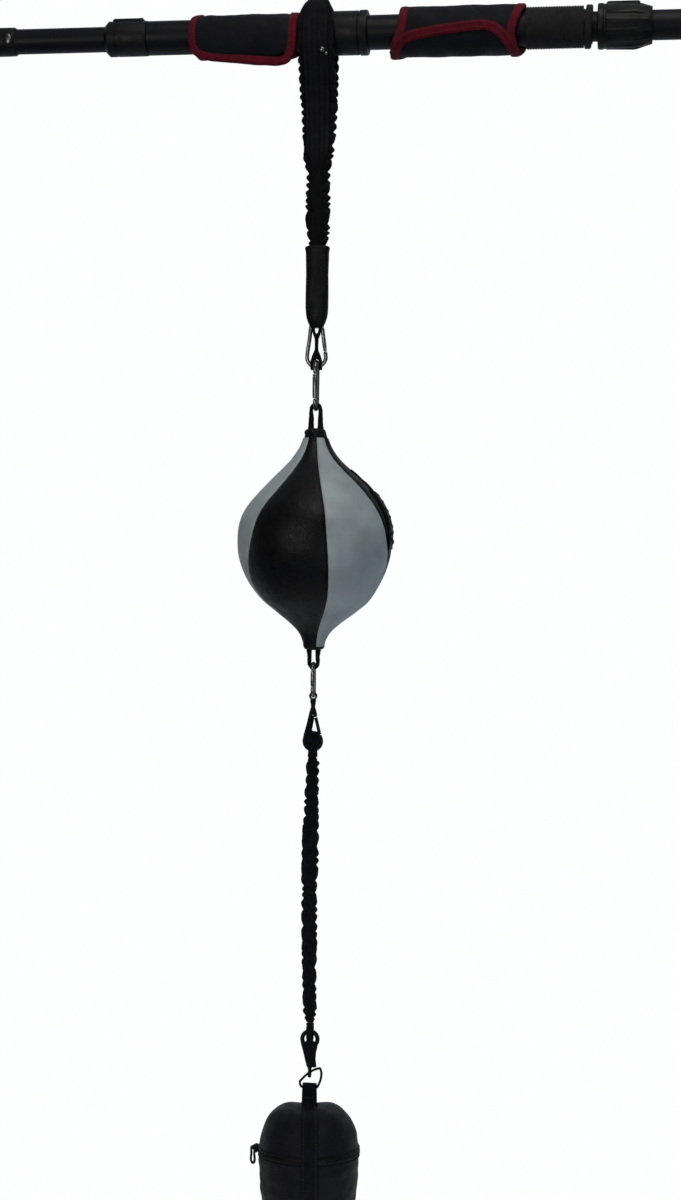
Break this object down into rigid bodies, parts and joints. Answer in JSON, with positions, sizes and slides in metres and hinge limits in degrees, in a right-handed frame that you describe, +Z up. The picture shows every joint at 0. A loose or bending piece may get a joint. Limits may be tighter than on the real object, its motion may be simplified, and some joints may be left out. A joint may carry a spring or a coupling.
{
  "type": "hanging punch ball set",
  "caption": "Telescopic doorway bar with padded grips carrying a hanging chain of gathered elastics, snap hooks, a panelled double-end punch ball and a sand-filled weight bag.",
  "frame": {"origin": "centre of the left foot's outer flat face, where the bar presses on a door jamb", "axes": "+Z up along the hanging chain; +X along the bar from the left foot to the right foot; -Y towards the viewer"},
  "size_m": [0.94, 0.18, 1.502],
  "materials": {
    "black_paint": "satin",
    "black_plastic": "satin",
    "black_rubber": "matte",
    "black_cloth": "matte",
    "grip_foam": "matte",
    "crimson_binding": "matte",
    "steel": "satin",
    "black_leather": "satin",
    "grey_leather": "satin",
    "bladder_rubber": "satin",
    "sand": "matte"
  },
  "bodies": {
    "left_end": {"left_foot_pad": "black_rubber", "left_foot_cup": "black_plastic", "left_end_socket": "black_plastic", "left_inner_tube": "black_paint", "left_tube_bush": "black_plastic"},
    "button": {"spring_button": "steel"},
    "bar": {"left_collar": "black_plastic", "main_tube_left": "black_paint", "centre_coupling": "black_plastic", "main_tube_right": "black_paint", "ribbed_sleeve": "black_plastic", "left_grip_pad": "grip_foam", "left_grip_binding": "crimson_binding", "right_grip_pad": "grip_foam", "right_grip_binding": "crimson_binding"},
    "collar_ring": {"lock_collar": "black_plastic"},
    "right_end": {"right_inner_tube": "black_paint", "right_end_socket": "black_plastic", "right_foot_cup": "black_plastic", "right_foot_pad": "black_rubber"},
    "strap": {"strap_loop": "black_cloth", "upper_elastic": "black_cloth", "strap_webbing": "black_cloth", "strap_rivet": "steel"},
    "strap_end": {"strap_sleeve": "black_leather", "tether_loop": "black_cloth", "carabiner_1": "steel"},
    "gate_1": {"carabiner_1_gate": "steel"},
    "snap_2": {"carabiner_2": "steel"},
    "gate_2": {"carabiner_2_gate": "steel"},
    "ball": {"ball_top_loop": "black_leather", "ball_top_collar": "black_leather", "ball_panel_1": "black_leather", "ball_panel_2": "grey_leather", "ball_panel_3": "black_leather", "ball_panel_4": "grey_leather", "ball_panel_5": "black_leather", "ball_panel_6": "grey_leather", "ball_bladder": "bladder_rubber", "ball_lace_flap": "black_leather", "ball_bottom_collar": "black_leather", "ball_bottom_loop": "black_leather"},
    "snap_3": {"carabiner_3": "steel"},
    "gate_3": {"carabiner_3_gate": "steel"},
    "upper_hook": {"hook_4": "black_paint"},
    "upper_hook_gate": {"hook_4_gate": "black_paint"},
    "elastic_top": {"lower_elastic_top_loop": "black_cloth", "lower_elastic": "black_cloth"},
    "elastic_bottom": {"lower_elastic_bottom_loop": "black_cloth"},
    "lower_hook": {"hook_5": "black_paint"},
    "lower_hook_gate": {"hook_5_gate": "black_paint"},
    "ring": {"triangle_ring": "steel"},
    "bag": {"bag_webbing": "black_cloth", "bag_body": "black_cloth", "bag_lid": "black_cloth", "bag_zipper": "black_plastic", "bag_sand": "sand"},
    "zip_slider": {"zipper_slider": "black_paint"},
    "zip_pull": {"zipper_puller": "black_paint"}
  },
  "joints": [
    {"name": "telescope_left", "type": "slide", "parent": "left_end", "child": "bar", "axis": [1, 0, 0], "range_m": [-0.03, 0.06]},
    {"name": "telescope_right", "type": "slide", "parent": "bar", "child": "right_end", "axis": [1, 0, 0], "range_m": [-0.02, 0.06]},
    {"name": "lock_collar_turn", "type": "hinge", "parent": "bar", "child": "collar_ring", "pos_m": [0.47, 0, 0], "axis": [1, 0, 0], "range_deg": [0, 60]},
    {"name": "button_press", "type": "slide", "parent": "left_end", "child": "button", "axis": [0, 1, 0], "range_m": [0, 0.0015], "stiffness_N_per_m": 400, "springref_m": -0.002},
    {"name": "strap_swing", "type": "hinge", "parent": "bar", "child": "strap", "pos_m": [0.47, 0, 0], "axis": [1, 0, 0], "range_deg": [-15, 15]},
    {"name": "strap_stretch", "type": "slide", "parent": "strap", "child": "strap_end", "axis": [0, 0, -1], "range_m": [-0.01, 0.04], "stiffness_N_per_m": 1200, "springref_m": -0.02534, "deforming": ["upper_elastic", "strap_webbing"]},
    {"name": "gate_1_open", "type": "hinge", "parent": "strap_end", "child": "gate_1", "pos_m": [0.47654, 0, -0.34212], "axis": [0, 1, 0], "range_deg": [0, 10], "stiffness_Nm_per_rad": 0.02, "springref_deg": -11.46},
    {"name": "snap_2_swing", "type": "hinge", "parent": "strap_end", "child": "snap_2", "pos_m": [0.47, 0, -0.3876], "axis": [1, 0, 0], "range_deg": [-15, 15]},
    {"name": "gate_2_open", "type": "hinge", "parent": "snap_2", "child": "gate_2", "pos_m": [0.47, -0.00717, -0.42546], "axis": [-1, 0, 0], "range_deg": [0, 15], "stiffness_Nm_per_rad": 0.02, "springref_deg": -11.46},
    {"name": "ball_swing", "type": "hinge", "parent": "snap_2", "child": "ball", "pos_m": [0.47, 0, -0.4369], "axis": [0, 1, 0], "range_deg": [-20, 20]},
    {"name": "snap_3_swing", "type": "hinge", "parent": "ball", "child": "snap_3", "pos_m": [0.47, 0, -0.7332], "axis": [0, 1, 0], "range_deg": [-20, 20]},
    {"name": "gate_3_open", "type": "hinge", "parent": "snap_3", "child": "gate_3", "pos_m": [0.47, -0.00562, -0.76245], "axis": [-1, 0, 0], "range_deg": [0, 12], "stiffness_Nm_per_rad": 0.02, "springref_deg": -11.46},
    {"name": "upper_hook_swing", "type": "hinge", "parent": "snap_3", "child": "upper_hook", "pos_m": [0.47, 0, -0.7708], "axis": [0, 1, 0], "range_deg": [-20, 20]},
    {"name": "upper_hook_gate_open", "type": "hinge", "parent": "upper_hook", "child": "upper_hook_gate", "pos_m": [0.47461, 0, -0.79308], "axis": [0, 1, 0], "range_deg": [0, 8], "stiffness_Nm_per_rad": 0.02, "springref_deg": -11.46},
    {"name": "elastic_swing", "type": "hinge", "parent": "upper_hook", "child": "elastic_top", "pos_m": [0.47, 0, -0.8332], "axis": [1, 0, 0], "range_deg": [-20, 20]},
    {"name": "elastic_stretch", "type": "slide", "parent": "elastic_top", "child": "elastic_bottom", "axis": [0, 0, -1], "range_m": [-0.02, 0.08], "stiffness_N_per_m": 500, "springref_m": -0.04991, "deforming": ["lower_elastic"]},
    {"name": "lower_hook_swing", "type": "hinge", "parent": "elastic_bottom", "child": "lower_hook", "pos_m": [0.47, 0, -1.1618], "axis": [1, 0, 0], "range_deg": [-20, 20]},
    {"name": "lower_hook_gate_open", "type": "hinge", "parent": "lower_hook", "child": "lower_hook_gate", "pos_m": [0.47449, 0, -1.19395], "axis": [0, -1, 0], "range_deg": [0, 8], "stiffness_Nm_per_rad": 0.02, "springref_deg": -11.46},
    {"name": "ring_swing", "type": "hinge", "parent": "lower_hook", "child": "ring", "pos_m": [0.47, 0, -1.2108], "axis": [1, 0, 0], "range_deg": [-15, 15]},
    {"name": "bag_swing", "type": "hinge", "parent": "ring", "child": "bag", "pos_m": [0.47, 0, -1.222], "axis": [1, 0, 0], "range_deg": [-20, 20]},
    {"name": "zip_run", "type": "hinge", "parent": "bag", "child": "zip_slider", "pos_m": [0.47, 0, -1.3], "axis": [0, 0, 1], "range_deg": [-60, 60]},
    {"name": "zip_pull_swing", "type": "hinge", "parent": "zip_slider", "child": "zip_pull", "pos_m": [0.4054, 0, -1.299], "axis": [0, 1, 0], "range_deg": [0, 60]}
  ]
}
